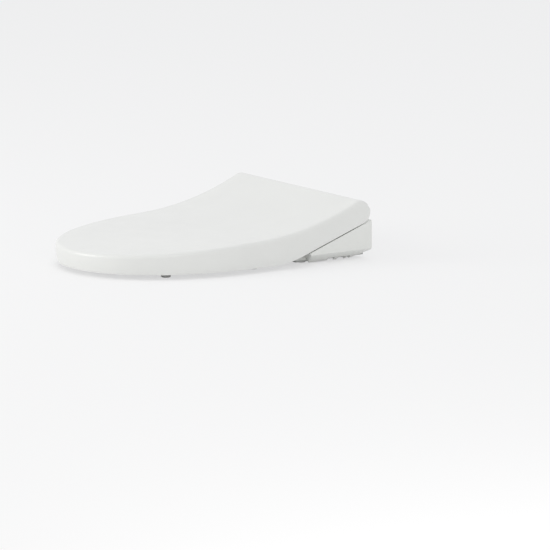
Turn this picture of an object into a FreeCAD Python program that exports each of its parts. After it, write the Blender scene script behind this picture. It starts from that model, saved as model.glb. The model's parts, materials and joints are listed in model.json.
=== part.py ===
import FreeCAD, Part
import math
import os
import re

# Electric bidet seat for an elongated bowl.  Millimetres.
# X points to the sitter's left, Y to the rear, Z up.  The origin is the middle of
# the two mounting slots, on the plane of the bowl's rim.
#
# Everything that turns on the hinge shares one side profile: a flat stretch over
# the rim, a bend, a straight slope, and a round end about the hinge axis.  Each
# shell takes that profile at its own distance from the hinge axis.

SIZES = {
    # overall
    "overall_width": 386.0,
    "front_reach": 462.0,
    "rear_reach": 60.0,
    "widest_reach": 207.0,
    "nose_power": 2.12,
    # hinge axis and slope of the parting line between lid and base
    "hinge_y": 35.0,
    "hinge_z": 88.0,
    "slope_start_y": -124.6,
    "bend_radius": 200.0,
    "shaft_radius": 5.0,
    "shaft_clearance": 0.05,
    # lid
    "lid_wall": 3.0,
    "lid_bottom": 9.0,
    "lid_end_radius": 21.5,
    "lid_top_bend_y": -178.0,
    "lid_top_bend_z": 57.5,
    "lid_top_rise": 0.053,
    "lid_lip_deg": 35.0,
    "lid_boss_radius": 9.0,
    # seat
    "seat_side_gap": 4.0,
    "seat_wall": 3.0,
    "seat_bottom": 12.0,
    "seat_top": 38.0,
    "seat_end_gap": 2.0,
    "seat_top_bend_y": -150.0,
    "seat_arm_inner": 168.0,
    "seat_arm_outer": 183.0,
    "seat_back_y": -92.0,
    "opening_half_width": 104.0,
    "ring_front": 74.0,
    "opening_back": -109.0,
    "opening_widest": -255.0,
    "notch_half_width": 100.0,
    "notch_depth": 20.0,
    "notch_top": 35.5,
    # base housing
    "base_half_width": 165.0,
    "base_front": -88.0,
    "base_floor": 8.0,
    "base_wall": 2.5,
    "base_end_gap": 4.0,
    "base_deck_z": 60.0,
    "chassis_bottom": 5.0,
    "panel_gap": 2.0,
    "panel_inner": 165.3,
    "panel_bottom": 2.0,
    "panel_tuck_z": 20.0,
    "panel_front_top_y": -76.0,
    "panel_front_bottom_y": -60.0,
    "panel_lift_y": 29.0,
    "panel_lift_z": 17.0,
    # mounting bracket
    "bolt_spacing": 140.0,
    "slot_radius": 5.5,
    "slot_length": 27.0,
    "bracket_thickness": 4.0,
    "bracket_width": 206.0,
    "bracket_depth": 44.0,
    # spray wand
    "wand_tilt_deg": 10.0,
    "wand_radius": 5.0,
    "wand_length": 97.0,
    "wand_tip_back": 43.0,
    "wand_tip_length": 10.0,
    "wand_window_z": 18.5,
    "wand_travel": 80.0,
    "gear_module": 1.0,
    "gear_teeth": 10.0,
    "gear_width": 6.0,
    # flaps in the front face
    "flap_hinge_z": 33.0,
    "flap_height": 22.0,
    "flap_thickness": 1.6,
    "flap_pin_radius": 0.7,
    "shutter_width": 38.0,
    "dryer_flap_width": 46.0,
    "dryer_x": 66.0,
    "flap_pin_hole": 0.75,
    # water inlet, half-inch pipe thread
    "inlet_radius": 10.48,
    "inlet_length": 15.0,
    "fit": 0.3,
}

doc = FreeCAD.newDocument("bidet_seat")
sheet = doc.addObject("Spreadsheet::Sheet", "sizes")
for row, (alias, value) in enumerate(SIZES.items(), start=1):
    sheet.set("A%d" % row, alias)
    sheet.set("B%d" % row, str(value))
    sheet.setAlias("B%d" % row, alias)
doc.recompute()


class Sizes:
    """The sheet's cells, read by their aliases."""

    def __getattr__(self, alias):
        return float(sheet.get(alias))


S = Sizes()
HALF = S.overall_width / 2
FRONT = -S.front_reach
OPENING_FRONT = FRONT + S.ring_front
SEAT_END = S.lid_end_radius - S.lid_wall - S.seat_end_gap
BASE_END = S.lid_end_radius - S.lid_wall - S.base_end_gap
SLOPE_RUN = S.hinge_y - S.slope_start_y
SLOPE_RISE = S.hinge_z - S.lid_bottom
SLOPE = math.atan2(SLOPE_RISE, SLOPE_RUN) - math.asin(S.lid_end_radius / math.hypot(SLOPE_RISE, SLOPE_RUN))
TILT = math.radians(S.wand_tilt_deg)
X_AXIS = FreeCAD.Vector(1, 0, 0)
Y_AXIS = FreeCAD.Vector(0, 1, 0)
Z_AXIS = FreeCAD.Vector(0, 0, 1)


# ---------------------------------------------------------------- helpers

def bind(obj, prop, value):
    """Sets a property, by an expression on the sheet where value is text."""
    if isinstance(value, str):
        text = re.sub(r"[a-z][a-z_]+[a-z]", lambda m: "sizes." + m.group(0) if m.group(0) in SIZES else m.group(0), value)
        obj.setExpression(prop, text)
    elif "." in prop:
        obj.setExpression(prop, repr(float(value)))
    else:
        setattr(obj, prop, value)


def place(obj, at, axis=None, angle=0.0):
    """Puts an object at a point; each coordinate is a number or an expression."""
    if axis is not None:
        obj.Placement = FreeCAD.Placement(FreeCAD.Vector(), FreeCAD.Rotation(axis, angle))
    for name, value in zip("xyz", at):
        bind(obj, "Placement.Base." + name, value)
    return obj


def box(name, at, dims):
    obj = doc.addObject("Part::Box", name)
    for prop, value in zip(("Length", "Width", "Height"), dims):
        bind(obj, prop, value)
    return place(obj, at)


def cylinder(name, at, radius, height, axis=Z_AXIS):
    """A cylinder that starts at a point and runs along axis."""
    obj = doc.addObject("Part::Cylinder", name)
    bind(obj, "Radius", radius)
    bind(obj, "Height", height)
    turn = FreeCAD.Rotation(Z_AXIS, axis)
    return place(obj, at, turn.Axis, math.degrees(turn.Angle))


def cone(name, at, radius_start, radius_end, height, axis=Z_AXIS):
    obj = doc.addObject("Part::Cone", name)
    bind(obj, "Radius1", radius_start)
    bind(obj, "Radius2", radius_end)
    bind(obj, "Height", height)
    turn = FreeCAD.Rotation(Z_AXIS, axis)
    return place(obj, at, turn.Axis, math.degrees(turn.Angle))


def fuse(name, parts):
    obj = doc.addObject("Part::MultiFuse", name)
    obj.Shapes = list(parts)
    return obj


def cut(name, base, tools):
    obj = doc.addObject("Part::Cut", name)
    obj.Base = base
    obj.Tool = tools[0] if len(tools) == 1 else fuse(name + "_tools", tools)
    return obj


def common(name, first, second):
    obj = doc.addObject("Part::Common", name)
    obj.Base = first
    obj.Tool = second
    return obj


def prism(name, plane, outline, start, length):
    """A PartDesign body: a sketch on an origin plane, padded from start by length."""
    body = doc.addObject("PartDesign::Body", name)
    sketch = body.newObject("Sketcher::SketchObject", name + "_sketch")
    origin = [o for o in body.Origin.OriginFeatures if o.Role == plane][0]
    sketch.AttachmentSupport = [(origin, "")]
    sketch.MapMode = "FlatFace"
    bind(sketch, "AttachmentOffset.Base.z", start)
    sketch.addGeometry(outline, False)
    pad = body.newObject("PartDesign::Pad", name + "_pad")
    pad.Profile = sketch
    bind(pad, "Length", length)
    doc.recompute()
    return body


def point(x, y):
    return FreeCAD.Vector(x, y, 0)


def polyline(points):
    return [Part.LineSegment(point(*a), point(*b)) for a, b in zip(points, points[1:])]


def polygon(points):
    return polyline(list(points) + [points[0]])


def arc(centre, radius, start, end):
    """An arc in a sketch, counter-clockwise from angle start to end, in radians."""
    circle = Part.Circle(point(*centre), Z_AXIS, radius)
    return Part.ArcOfCircle(circle, start, end)


def ends(curve):
    return curve.StartPoint, curve.EndPoint


def mirrored(*spots):
    """Each spot and its mirror image in the middle plane."""
    return [(sign * x, y) for x, y in spots for sign in (1, -1)]


def rectangle(x_low, y_low, x_high, y_high):
    return polygon([(x_low, y_low), (x_high, y_low), (x_high, y_high), (x_low, y_high)])


# ---------------------------------------------------------------- shared profiles

HINGE = (S.hinge_y, S.hinge_z)


def plan_outline(inset):
    """Half-oval nose and straight sides, seen from above, inset from the lid's edge."""
    half = HALF - inset
    reach = S.front_reach - S.widest_reach - inset
    steps = 12
    nose = []
    for i in range(-steps, steps + 1):
        angle = math.pi / 2 * i / steps
        across = math.copysign(abs(math.sin(angle)) ** (2 / S.nose_power), angle) * half
        ahead = abs(math.cos(angle)) ** (2 / S.nose_power) * reach
        nose.append(FreeCAD.Vector(across, -S.widest_reach - ahead, 0))
    curve = Part.BSplineCurve()
    curve.interpolate(nose, InitialTangent=-Y_AXIS, FinalTangent=Y_AXIS)
    back = S.rear_reach + 10
    sides = polyline([(half, nose[-1].y), (half, back), (-half, back), (-half, nose[0].y)])
    return [curve] + sides


def opening_outline(grow):
    """The oval hole in the seat: two half ellipses that meet at the widest point."""
    half = S.opening_half_width + grow
    centre = point(0, S.opening_widest)
    curves = []
    for reach, first, last in (
        (S.opening_back - S.opening_widest + grow, 0, math.pi),
        (S.opening_widest - OPENING_FRONT + grow, math.pi, 2 * math.pi),
    ):
        if reach >= half:
            ellipse = Part.Ellipse(centre + point(0, reach), centre + point(half, 0), centre)
            turn = -math.pi / 2
        else:
            ellipse = Part.Ellipse(centre + point(half, 0), centre + point(0, reach), centre)
            turn = 0
        curves.append(Part.ArcOfEllipse(ellipse, first + turn, last + turn))
    return curves


def under_edge(bottom, radius):
    """The lower side profile: flat, bend, then a slope that touches a circle about the hinge.

    Returns the flat's end, the bend's arc, and the point where the slope touches."""
    slope_z = S.hinge_z - radius / math.cos(SLOPE)
    corner_y = S.hinge_y - (slope_z - bottom) / math.tan(SLOPE)
    tangent = S.bend_radius * math.tan(SLOPE / 2)
    centre = (corner_y - tangent, bottom + S.bend_radius)
    bend = arc(centre, S.bend_radius, -math.pi / 2, -math.pi / 2 + SLOPE)
    touch = (S.hinge_y + radius * math.sin(SLOPE), S.hinge_z - radius * math.cos(SLOPE))
    return (centre[0], bottom), bend, touch


def over_edge(bend_y, bend_z, rise, radius, inset):
    """The upper side profile: a gentle slope, then a hollow curve that runs into the round
    end about the hinge.  Returns the curve's low end, its centre, radius and high end."""
    length = math.hypot(1, rise)
    normal = (-rise / length, 1 / length)
    dy, dz = bend_y - S.hinge_y, bend_z - S.hinge_z
    hollow = (dy * dy + dz * dz - radius * radius) / (2 * (radius - dy * normal[0] - dz * normal[1]))
    centre = (bend_y + hollow * normal[0], bend_z + hollow * normal[1])
    hollow += inset
    low = (centre[0] - hollow * normal[0], centre[1] - hollow * normal[1])
    ahead = (centre[0] - S.hinge_y, centre[1] - S.hinge_z)
    reach = math.hypot(*ahead)
    end = radius - inset
    high = (S.hinge_y + end * ahead[0] / reach, S.hinge_z + end * ahead[1] / reach)
    return low, centre, hollow, high


def lid_over_edge(inset):
    return over_edge(S.lid_top_bend_y, S.lid_top_bend_z, S.lid_top_rise, S.lid_end_radius, inset)


def seat_over_edge(inset):
    return over_edge(S.seat_top_bend_y, S.seat_top, 0.0, SEAT_END, inset)


def hollow_arc(edge):
    """The hollow curve of an upper profile, as an arc in a sketch."""
    low, centre, radius, high = edge
    start = math.atan2(low[1] - centre[1], low[0] - centre[0])
    end = math.atan2(high[1] - centre[1], high[0] - centre[0])
    return arc(centre, radius, start, end)


def hinge_angle(spot):
    return math.atan2(spot[1] - S.hinge_z, spot[0] - S.hinge_y)


def front_height(edge, rise, y):
    """Height of an upper profile's gentle slope at y."""
    low = edge[0]
    return low[1] + rise * (y - low[0])


# ---------------------------------------------------------------- lid

AHEAD = FRONT - 10


def lid_side_outline():
    flat_end, bend, touch = under_edge(S.lid_bottom, S.lid_end_radius)
    edge = lid_over_edge(0)
    low, high = edge[0], edge[3]
    round_end = arc(HINGE, S.lid_end_radius, hinge_angle(touch), hinge_angle(high))
    front_top = (AHEAD, front_height(edge, S.lid_top_rise, AHEAD))
    return (
        polyline([(AHEAD, S.lid_bottom), flat_end])
        + [bend]
        + polyline([tuple(bend.EndPoint)[:2], touch])
        + [round_end, hollow_arc(edge)]
        + polyline([low, front_top, (AHEAD, S.lid_bottom)])
    )


def lid_hollow_outline():
    """The space under the lid's top; open below, and behind under the rear lip."""
    edge = lid_over_edge(S.lid_wall)
    low, high = edge[0], edge[3]
    lip = math.radians(S.lid_lip_deg)
    radius = S.lid_end_radius - S.lid_wall
    lip_in = (S.hinge_y + radius * math.cos(lip), S.hinge_z + radius * math.sin(lip))
    lip_out = (S.hinge_y + 2 * radius * math.cos(lip), S.hinge_z + 2 * radius * math.sin(lip))
    front_top = (AHEAD, front_height(edge, S.lid_top_rise, AHEAD))
    return (
        [arc(HINGE, radius, lip, hinge_angle(high)), hollow_arc(edge)]
        + polyline([low, front_top, (AHEAD, -10), (lip_out[0] + 20, -10), (lip_out[0] + 20, lip_out[1]), lip_out, lip_in])
    )


def make_lid():
    outer = common(
        "lid_outer",
        prism("lid_side", "YZ_Plane", lid_side_outline(), "-overall_width / 2", "overall_width"),
        prism("lid_plan", "XY_Plane", plan_outline(0), -5, 150),
    )
    inner = common(
        "lid_inner",
        prism("lid_hollow_side", "YZ_Plane", lid_hollow_outline(), "-overall_width / 2", "overall_width"),
        prism("lid_hollow_plan", "XY_Plane", plan_outline(S.lid_wall), -15, 170),
    )
    shell = cut("lid_shell", outer, [inner])
    boss_length = HALF - S.lid_wall - S.seat_arm_outer - 1
    bosses = []
    bores = []
    for side, sign in (("left", 1), ("right", -1)):
        start = sign * (S.seat_arm_outer + 1)
        axis = X_AXIS * sign
        bosses.append(cylinder("lid_boss_" + side, (start, "hinge_y", "hinge_z"), "lid_boss_radius", boss_length + 0.5, axis))
        bores.append(cylinder("lid_bore_" + side, (start - sign, "hinge_y", "hinge_z"), "shaft_radius + shaft_clearance", boss_length - 0.2, axis))
    lid = cut("lid_cover", fuse("lid_with_bosses", [shell] + bosses), bores)
    bumpers = []
    for n, (x, y) in enumerate(mirrored((HALF - 53, FRONT + 162), (70, FRONT + 32))):
        top = front_height(lid_over_edge(S.lid_wall), S.lid_top_rise, y)
        bumpers.append(cylinder("lid_bumper_%d" % n, (x, y, S.seat_top + 0.3), 7.0, top - S.seat_top + 0.4))
    bumper_group = common("lid_bumpers", fuse("lid_bumper_posts", bumpers), inner)
    return {"lid_cover": lid, "lid_bumpers": bumper_group}


# ---------------------------------------------------------------- seat

def seat_side_outline(inset):
    """The seat from the side.  With an inset it is the hollow inside, open below."""
    edge = seat_over_edge(inset)
    low, high = edge[0], edge[3]
    front_top = (AHEAD, low[1])
    if inset:
        stop = (S.hinge_y - 45, None)
        radius = edge[2]
        stop_z = edge[1][1] - math.sqrt(radius ** 2 - (edge[1][0] - stop[0]) ** 2)
        start = math.atan2(low[1] - edge[1][1], low[0] - edge[1][0])
        last = math.atan2(stop_z - edge[1][1], stop[0] - edge[1][0])
        return [arc(edge[1], radius, start, last)] + polyline([(stop[0], stop_z), (stop[0], -10), (AHEAD, -10), front_top, low])
    flat_end, bend, touch = under_edge(S.seat_bottom, SEAT_END)
    round_end = arc(HINGE, SEAT_END, hinge_angle(touch), hinge_angle(high))
    return (
        polyline([(AHEAD, S.seat_bottom), flat_end])
        + [bend]
        + polyline([tuple(bend.EndPoint)[:2], touch])
        + [round_end, hollow_arc(edge)]
        + polyline([low, front_top, (AHEAD, S.seat_bottom)])
    )


def seat_floor_outline():
    """The side view of the plate that closes the seat from below."""
    flat_end, bend, touch = under_edge(S.seat_bottom, SEAT_END)
    up_end, up_bend, up_touch = under_edge(S.seat_bottom + S.seat_wall, SEAT_END - S.seat_wall)
    stop = S.hinge_y - 45.4
    low_z = touch[1] - (touch[0] - stop) * math.tan(SLOPE)
    high_z = up_touch[1] - (up_touch[0] - stop) * math.tan(SLOPE)
    return (
        polyline([(AHEAD, S.seat_bottom), flat_end])
        + [bend]
        + polyline([tuple(bend.EndPoint)[:2], (stop, low_z), (stop, high_z), tuple(up_bend.EndPoint)[:2]])
        + [up_bend]
        + polyline([up_end, (AHEAD, up_end[1]), (AHEAD, S.seat_bottom)])
    )


def make_seat():
    side_gap = S.lid_wall + S.seat_side_gap
    back = S.rear_reach + 20 - S.seat_back_y
    body = common(
        "seat_body",
        prism("seat_side", "YZ_Plane", seat_side_outline(0), "-overall_width / 2", "overall_width"),
        prism("seat_plan", "XY_Plane", plan_outline(side_gap), -5, 150),
    )
    bay = box("seat_bay", ("-seat_arm_inner", "seat_back_y", -5), ("2 * seat_arm_inner", back, 150))
    notch = box("seat_notch", ("-notch_half_width", "seat_back_y - notch_depth", -5), ("2 * notch_half_width", "notch_depth + 1", "notch_top + 5"))
    hole = prism("seat_hole", "XY_Plane", opening_outline(0), -5, 150)
    trims = []
    bores = []
    for side, sign in (("left", 1), ("right", -1)):
        axis = X_AXIS * sign
        trims.append(cylinder("seat_trim_" + side, (sign * S.seat_arm_outer, "hinge_y", "hinge_z"), 45.0, HALF - S.seat_arm_outer, axis))
        bores.append(cylinder("seat_bore_" + side, (sign * (S.seat_arm_inner - 2), "hinge_y", "hinge_z"), "shaft_radius + shaft_clearance", 30.0, axis))
    outer = cut("seat_outer", body, [bay, notch, hole] + trims + bores)
    channel = cut(
        "seat_channel",
        common(
            "seat_channel_body",
            prism("seat_channel_side", "YZ_Plane", seat_side_outline(S.seat_wall), "-overall_width / 2", "overall_width"),
            prism("seat_channel_plan", "XY_Plane", plan_outline(side_gap + S.seat_wall), -15, 170),
        ),
        [
            prism("seat_hole_wall", "XY_Plane", opening_outline(S.seat_wall), -20, 190),
            box("seat_bay_wall", ("-seat_arm_inner - seat_wall", "seat_back_y - seat_wall", -25), ("2 * (seat_arm_inner + seat_wall)", back, 190)),
        ],
    )
    top = cut("seat_top_shell", outer, [channel])
    floor_zone = cut(
        "seat_floor_zone",
        common(
            "seat_floor_body",
            prism("seat_floor_side", "YZ_Plane", seat_floor_outline(), "-overall_width / 2", "overall_width"),
            prism("seat_floor_plan", "XY_Plane", plan_outline(side_gap + S.seat_wall + 0.2), -15, 170),
        ),
        [
            prism("seat_floor_hole", "XY_Plane", opening_outline(S.seat_wall + 0.2), -20, 190),
            box("seat_floor_bay", ("-seat_arm_inner - seat_wall - 0.2", "seat_back_y - seat_wall - 0.2", -25), ("2 * (seat_arm_inner + seat_wall + 0.2)", back, 190)),
            box("seat_floor_notch", ("-notch_half_width", "seat_back_y - notch_depth", -5), ("2 * notch_half_width", "notch_depth + 1", "notch_top + 5")),
        ],
    )
    foil_inset = side_gap + S.seat_wall + 5
    foil = cut(
        "seat_heater",
        prism("heater_plan", "XY_Plane", plan_outline(foil_inset), "seat_top - seat_wall - 1", 1),
        [
            prism("heater_hole", "XY_Plane", opening_outline(S.seat_wall + 5), 0, 60),
            box("heater_end", ("-overall_width / 2", "seat_top_bend_y", 0), ("overall_width", 250, 60)),
        ],
    )
    bumpers = []
    screws = []
    for n, (x, y) in enumerate(mirrored((HALF - 45, -170), (HALF - 65, FRONT + 117))):
        bumpers.append(cylinder("seat_bumper_%d" % n, (x, y, 0), 9.0, "seat_bottom"))
    for n, (x, y) in enumerate(mirrored((HALF - 45, -230), (60, FRONT + 47))):
        bolt = cylinder("seat_screw_%d" % n, (x, y, "seat_bottom - 1.6"), 2.8, 1.6)
        screws.append(bolt)
    return {
        "seat_top_shell": top,
        "seat_bottom_plate": floor_zone,
        "seat_heater": foil,
        "seat_bumpers": fuse("seat_bumpers", bumpers),
        "seat_screws": fuse("seat_screws", screws),
    }


# ---------------------------------------------------------------- base housing

def housing_outline(inset):
    """The base housing from the side, inset by a wall where it is the hollow."""
    reach = S.lid_end_radius - BASE_END + inset
    edge = lid_over_edge(reach)
    centre, radius, high = edge[1], edge[2], edge[3]
    front = S.base_front + inset
    top_z = centre[1] - math.sqrt(radius ** 2 - (centre[0] - front) ** 2)
    start = math.atan2(top_z - centre[1], front - centre[0])
    last = math.atan2(high[1] - centre[1], high[0] - centre[0])
    end = BASE_END - inset
    heel = math.radians(-78)
    clear = S.lid_end_radius + 1 + inset
    inner = (S.hinge_y + end * math.cos(heel), S.hinge_z + end * math.sin(heel))
    outer = (S.hinge_y + clear * math.cos(heel) - inset, S.hinge_z + clear * math.sin(heel))
    inner = (inner[0] - inset, inner[1])
    rear = S.rear_reach - inset
    floor = S.base_floor - (1 if inset else 0)
    barrel_start = math.atan2(inner[1] - S.hinge_z, inner[0] - S.hinge_y)
    barrel_r = math.hypot(inner[1] - S.hinge_z, inner[0] - S.hinge_y)
    touch = (S.hinge_y + end * math.cos(barrel_start), S.hinge_z + end * math.sin(barrel_start))
    return (
        [arc(centre, radius, start, last), arc(HINGE, end, barrel_start, hinge_angle(high))]
        + polyline([touch, outer, (rear, S.base_deck_z - inset), (rear, floor), (front, floor), (front, top_z)])
    ), barrel_r


def slot_outline(x, y, length, radius):
    half = length / 2 - radius
    return (
        polyline([(x - half, y - radius), (x + half, y - radius)])
        + [arc((x + half, y), radius, -math.pi / 2, math.pi / 2)]
        + polyline([(x + half, y + radius), (x - half, y + radius)])
        + [arc((x - half, y), radius, math.pi / 2, 3 * math.pi / 2)]
    )


BUTTONS = (("power_button", -128.0, -62.0), ("rinse_button", -108.0, -62.0))


def housing_top(y):
    """Height of the housing's top face at y."""
    edge = lid_over_edge(S.lid_end_radius - BASE_END)
    return edge[1][1] - math.sqrt(edge[2] ** 2 - (edge[1][0] - y) ** 2)


def make_housing():
    outer = prism("housing_side", "YZ_Plane", housing_outline(0)[0], "-base_half_width", "2 * base_half_width")
    inner = prism("housing_hollow", "YZ_Plane", housing_outline(S.base_wall)[0], "-base_half_width + base_wall", "2 * (base_half_width - base_wall)")
    wall = S.base_wall + 2
    front = S.base_front - 1
    window_low = S.flap_hinge_z - S.flap_height - S.fit
    window_high = S.flap_height + 2 * S.fit + 2
    cuts = [
        inner,
        box("wand_window", (-S.shutter_width / 2 - S.fit, front, window_low), (S.shutter_width + 2 * S.fit, wall, window_high)),
        box("dryer_window", (S.dryer_x - S.dryer_flap_width / 2 - S.fit, front, window_low), (S.dryer_flap_width + 2 * S.fit, wall, window_high)),
        box("rear_window", ("-base_half_width + 12", "rear_reach - base_wall - 1", "base_floor + 6"), ("2 * (base_half_width - 12)", wall, "base_deck_z - base_floor - 14")),
    ]
    for side, sign in (("left", 1), ("right", -1)):
        cuts.append(cylinder("housing_bore_" + side, (sign * (S.base_half_width - 6), "hinge_y", "hinge_z"), "shaft_radius + shaft_clearance", 12.0, X_AXIS * sign))
    for n in range(6):
        cuts.append(box("intake_slot_%d" % n, (-122 + 9 * n, front, 16), (4, wall, 22)))
    for name, x, width in (("wand", 0.0, S.shutter_width), ("dryer", S.dryer_x, S.dryer_flap_width)):
        start = x - width / 2 - 2.8
        cuts.append(cylinder(name + "_pin_hole", (start, FLAP_HINGE_Y, "flap_hinge_z"), "flap_pin_hole", width + 5.6, X_AXIS))
    for name, x, y in BUTTONS:
        cuts.append(cylinder(name + "_hole", (x, y, S.base_floor + 20), 5.0 + S.fit, 80.0))
    cuts.append(box("sensor_hole", (-10 - S.fit, -72 - S.fit, S.base_floor + 30), (20 + 2 * S.fit, 9 + 2 * S.fit, 60)))
    cover = cut("housing_cover", outer, cuts)

    plate = box("rear_plate", ("-base_half_width + 12 + fit", "rear_reach - base_wall", "base_floor + 6 + fit"), ("2 * (base_half_width - 12 - fit)", "base_wall", "base_deck_z - base_floor - 14 - 2 * fit"))
    gland_hole = cylinder("gland_hole", (130, S.rear_reach - 5, 24), 6.0, 8.0, Y_AXIS)
    vents = [box("rear_vent_%d" % n, (30 + 7 * n, S.rear_reach - 5, 20), (3, 8, 24)) for n in range(8)]
    rear = cut("rear_cover", plate, [gland_hole] + vents)
    gland = fuse("cable_gland", [
        cylinder("gland_body", (130, S.rear_reach - 9, 24), 5.9, 8.5, Y_AXIS),
        cylinder("gland_flange", (130, S.rear_reach - 5.5, 24), 8.0, 3.0, Y_AXIS),
    ])
    return {"housing_cover": cover, "rear_cover": rear, "cable_gland": gland}


def make_chassis():
    tray = box("chassis_plate", ("-base_half_width", "base_front", "chassis_bottom"), ("2 * base_half_width", "rear_reach - base_front", "base_floor - chassis_bottom"))
    bay = box("bracket_bay", ("-bracket_width / 2 - 2", "-bracket_depth / 2 - 2", 0), ("bracket_width + 4", "bracket_depth + 4", "bracket_thickness + 1 + fit"))
    heads = [box("bolt_head_bay_%d" % n, (x - 20, -12, 0), (40, 24, 7)) for n, x in enumerate((-S.bolt_spacing / 2, S.bolt_spacing / 2))]
    chassis = cut("base_chassis", tray, [bay] + heads)
    feet = [
        cylinder("foot_%d" % n, (x, y, 0), 9.0, "chassis_bottom")
        for n, (x, y) in enumerate(mirrored((140, -60), (140, 35)))
    ]
    plate = box("bracket_plate", ("-bracket_width / 2", "-bracket_depth / 2", 0), ("bracket_width", "bracket_depth", "bracket_thickness"))
    slots = [
        prism("bracket_slot_%d" % n, "XY_Plane", slot_outline(x, 0, S.slot_length, S.slot_radius), -1, 10)
        for n, x in enumerate((-S.bolt_spacing / 2, S.bolt_spacing / 2))
    ]
    hooks = [
        box("bracket_hook_%d" % n, (x - 8, -S.bracket_depth / 2, "bracket_thickness"), (16, 6, "chassis_bottom - bracket_thickness"))
        for n, x in enumerate((-25, 25))
    ]
    plate_with_hooks = fuse("bracket_body", [plate] + hooks)
    bracket = cut("mounting_bracket", plate_with_hooks, slots)
    return {"base_chassis": chassis, "base_feet": fuse("base_feet", feet), "mounting_bracket": bracket}


# ---------------------------------------------------------------- side panels

def panel_outline(inset):
    """A side panel from the side: a wedge under the sloping parting line."""
    radius = S.lid_end_radius + S.panel_gap + inset
    line_z = S.hinge_z - radius / math.cos(SLOPE)
    rear = S.rear_reach - inset
    top_rear = line_z + (rear - S.hinge_y) * math.tan(SLOPE)
    front = S.panel_front_top_y + 2.2 * inset
    top_front = line_z + (front - S.hinge_y) * math.tan(SLOPE)
    bottom = S.panel_bottom + inset
    low_front = S.panel_front_bottom_y + 1.2 * inset
    return polygon([
        (low_front, bottom), (S.panel_lift_y, bottom), (rear, S.panel_lift_z + inset / 2),
        (rear, top_rear), (front, top_front),
    ])


def make_panel(side, sign):
    name = "side_panel_" + side
    depth = HALF - S.panel_inner
    start = S.panel_inner if sign > 0 else -HALF
    wedge = prism(name + "_wedge", "YZ_Plane", panel_outline(0), start, depth)
    hollow_start = S.panel_inner + S.base_wall if sign > 0 else -HALF + S.base_wall
    hollow = prism(name + "_hollow", "YZ_Plane", panel_outline(S.base_wall), hollow_start, depth - 2 * S.base_wall)
    tuck = S.panel_tuck_z
    low = S.panel_bottom
    outline = polygon([
        (sign * (HALF + 0.01), tuck), (sign * (HALF + 5), low - 5), (sign * S.panel_inner, low - 5), (sign * S.panel_inner, low),
    ])
    under = prism(name + "_tuck", "XZ_Plane", outline, "-rear_reach - 5", "rear_reach + 100")
    up = S.base_wall * 1.2
    inner_outline = polygon([
        (sign * HALF, tuck + up), (sign * (HALF + 5), low - 9), (sign * S.panel_inner, low - 9), (sign * S.panel_inner, low + up),
    ])
    inner_under = prism(name + "_inner_tuck", "XZ_Plane", inner_outline, "-rear_reach - 5", "rear_reach + 100")
    cavity = cut(name + "_cavity", hollow, [inner_under])
    vent_x = S.panel_inner - 1 if sign > 0 else -S.panel_inner - 9
    vents = [
        box(name + "_vent_%d" % n, (vent_x, y, S.panel_bottom - 1), (10, length, 6.5))
        for n, (y, length) in enumerate(((-21, 14), (0.5, 15.5), (20.5, 6)))
    ]
    return cut(name, wedge, [under, cavity] + vents)


# ---------------------------------------------------------------- hinge hardware

def make_hinges():
    made = {}
    for side, sign in (("left", 1), ("right", -1)):
        axis = X_AXIS * sign
        made["hinge_shaft_" + side] = cylinder("hinge_shaft_" + side, (sign * 118, "hinge_y", "hinge_z"), "shaft_radius", HALF - S.lid_wall - 2 - 118, axis)
        name = ("seat_damper" if sign > 0 else "lid_damper")
        body = cylinder(name + "_body", (sign * 122, "hinge_y", "hinge_z"), BASE_END - S.base_wall - 0.4, 36.0, axis)
        flat = cylinder(name + "_bore", (sign * 120, "hinge_y", "hinge_z"), "shaft_radius + shaft_clearance", 40.0, axis)
        made[name] = cut(name, body, [flat])
    return made


# ---------------------------------------------------------------- spray wand

def gear_points(teeth, module, shift):
    """A spur gear with thin straight teeth, one of them pointing up."""
    pitch = teeth * module / 2
    tip, root = pitch + 0.9 * module, pitch - 1.25 * module
    tip_half, root_half = 0.25 * module, 0.72 * module
    points = []
    for i in range(int(teeth)):
        middle = math.pi / 2 + 2 * math.pi * i / teeth + shift
        for half, radius in ((-root_half, root), (-tip_half, tip), (tip_half, tip), (root_half, root)):
            angle = middle + math.atan2(half, radius)
            points.append((radius * math.cos(angle), radius * math.sin(angle)))
    return points


# Along the wand, y is measured from the front face's plane, z from the wand's axis.
PITCH_RADIUS = S.gear_teeth * S.gear_module / 2
RACK_PITCH_Z = -S.wand_radius - 1.2
PINION_Y = S.wand_tip_back + S.wand_tip_length + 3.2
PINION_Z = RACK_PITCH_Z - PITCH_RADIUS


def tilt(obj):
    """Turns a piece made along the wand into its place behind the front face."""
    obj.Placement = FreeCAD.Placement(
        FreeCAD.Vector(0, S.base_front, S.wand_window_z), FreeCAD.Rotation(X_AXIS, S.wand_tilt_deg)
    )
    return obj


def rack_points():
    """The rack's side view: teeth point down, with a gap over the pinion's top tooth."""
    pitch = math.pi * S.gear_module
    low = RACK_PITCH_Z - 0.9 * S.gear_module
    root = RACK_PITCH_Z + 1.1 * S.gear_module
    count = int(S.wand_travel / pitch) + 1
    points = [(PINION_Y - 1.4, root + 1.2)]
    for i in range(count):
        middle = PINION_Y + (i + 0.5) * pitch
        points += [(middle - 0.72, root), (middle - 0.25, low), (middle + 0.25, low), (middle + 0.72, root)]
    points.append((PINION_Y + (count + 0.2) * pitch, root + 1.2))
    return points


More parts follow.
